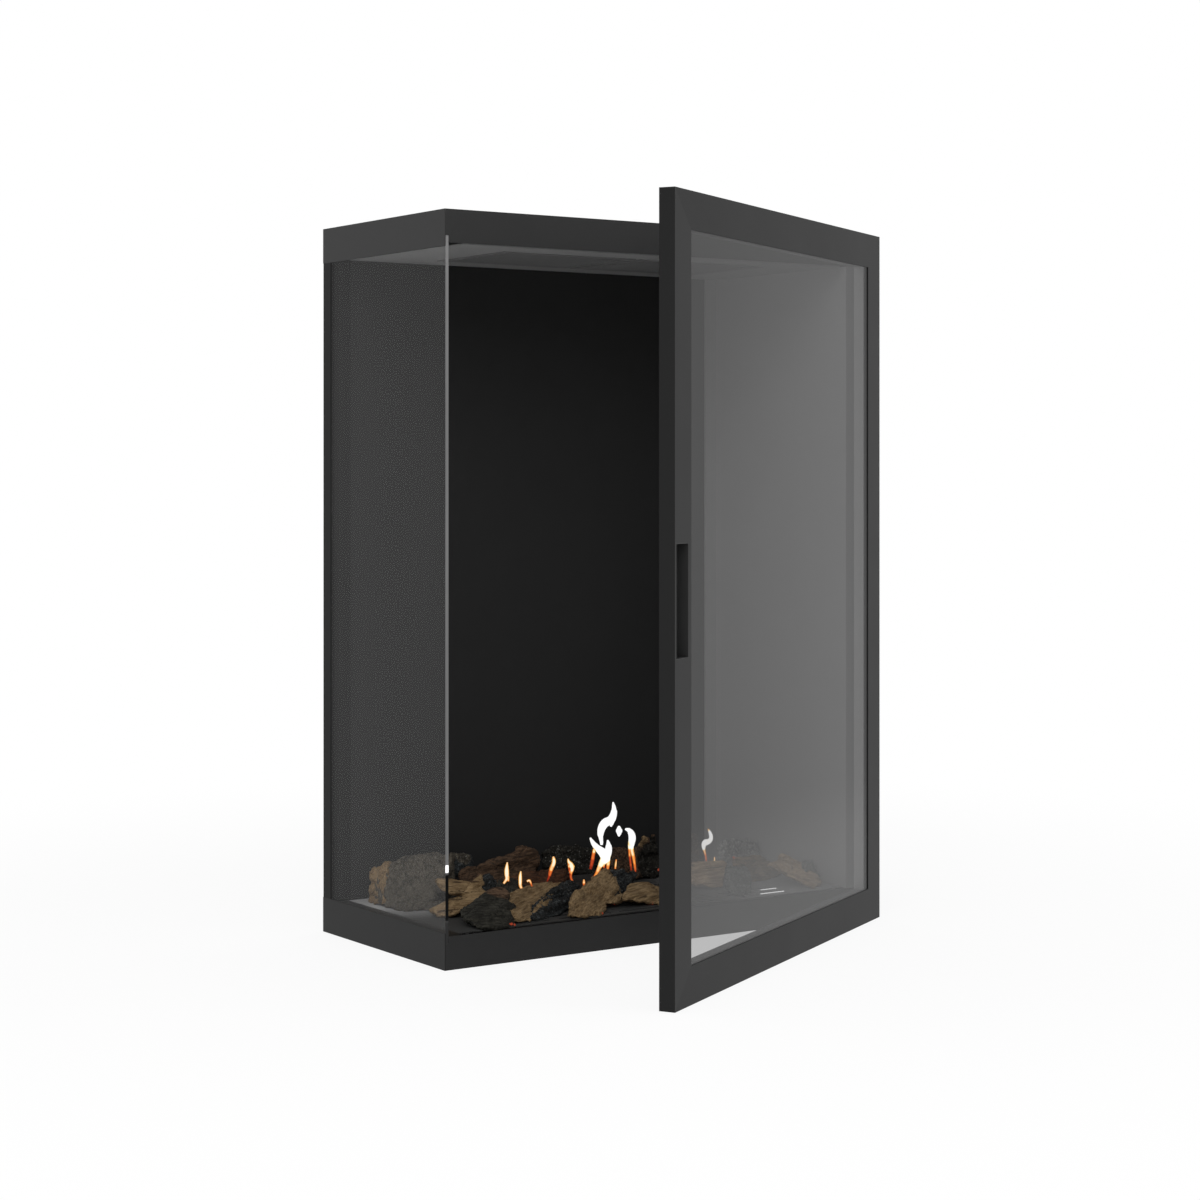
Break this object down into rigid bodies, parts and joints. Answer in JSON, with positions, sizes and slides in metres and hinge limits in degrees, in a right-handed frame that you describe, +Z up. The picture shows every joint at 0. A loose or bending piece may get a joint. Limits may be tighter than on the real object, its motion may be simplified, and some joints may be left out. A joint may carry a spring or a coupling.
{
  "type": "corner fireplace",
  "caption": "Tall built-in gas fireplace with a glass left side, a framed glass door swung open on its right edge, ceramic logs on a slotted hearth and a concentric flue collar.",
  "frame": {"origin": "middle of the underside of the casing", "axes": "+Z up; the door side faces -Y and the glass side faces -X"},
  "size_m": [0.7725, 0.758, 1.07],
  "materials": {
    "casing_paint": "satin charcoal powder coat",
    "liner_paint": "satin grey paint",
    "dark_paint": "satin black paint",
    "matt_black_liner": "matt black heat-proof paint",
    "clear_glass": "clear",
    "fired_ceramic": "matt, moulded as split and charred wood",
    "insulation_board": "matt pressed fibre board",
    "seal_fibre": "woven glass-fibre tape",
    "magnet_black": "black nickel",
    "control_plastic": "matt",
    "valve_brass": "machined",
    "plated_steel": "zinc plated"
  },
  "bodies": {
    "casing": {"base_band_front": "casing_paint", "base_band_left": "casing_paint", "base_plate": "plated_steel", "burner_deck": "matt_black_liner", "burner_tray": "plated_steel", "burner_tubes": "plated_steel", "casing_screws": "plated_steel", "ceiling_grilles": "dark_paint", "ceiling_panel": "liner_paint", "control_box": "control_plastic", "flue_collar_inner": "plated_steel", "flue_collar_outer": "plated_steel", "gas_inlet_union": "valve_brass", "gas_manifold": "plated_steel", "gas_valve": "valve_brass", "glass_rails": "casing_paint", "hearth_floor": "liner_paint", "hinge_brackets": "plated_steel", "hinge_pins": "plated_steel", "hood_band_front": "casing_paint", "hood_band_left": "casing_paint", "left_glass": "clear_glass", "left_rear_post": "casing_paint", "liner_bearers": "plated_steel", "log_back_bark": "fired_ceramic", "log_back_charred": "fired_ceramic", "log_behind_door": "fired_ceramic", "log_centre_split": "fired_ceramic", "log_corner_tan": "fired_ceramic", "log_front_charred": "fired_ceramic", "log_front_tan": "fired_ceramic", "log_leaning": "fired_ceramic", "log_left_split": "fired_ceramic", "log_middle_long": "fired_ceramic", "log_offcuts": "fired_ceramic", "log_right_bark": "fired_ceramic", "log_right_tan": "fired_ceramic", "magnet_catches": "magnet_black", "pilot_assembly": "plated_steel", "rear_insulation": "insulation_board", "rear_liner": "matt_black_liner", "rear_panel": "plated_steel", "right_front_flange": "liner_paint", "right_front_post": "liner_paint", "right_liner": "liner_paint", "right_panel": "casing_paint", "right_rear_post": "liner_paint", "top_plate": "plated_steel"},
    "door": {"door_bead_screws": "plated_steel", "door_glass": "clear_glass", "door_glass_beads": "casing_paint", "door_glass_tape": "seal_fibre", "door_rail_bottom": "casing_paint", "door_rail_top": "casing_paint", "door_seal": "seal_fibre", "door_stile_free": "casing_paint", "door_stile_hinge": "casing_paint", "hinge_bushes": "plated_steel", "magnet_keepers": "plated_steel", "pull_cup": "dark_paint"}
  },
  "joints": [
    {"name": "door_hinge", "type": "hinge", "parent": "casing", "child": "door", "pos_m": [0.3755, -0.1905, 0.53], "axis": [0, 0, 1], "range_deg": [-29.45, 60.55]}
  ]
}
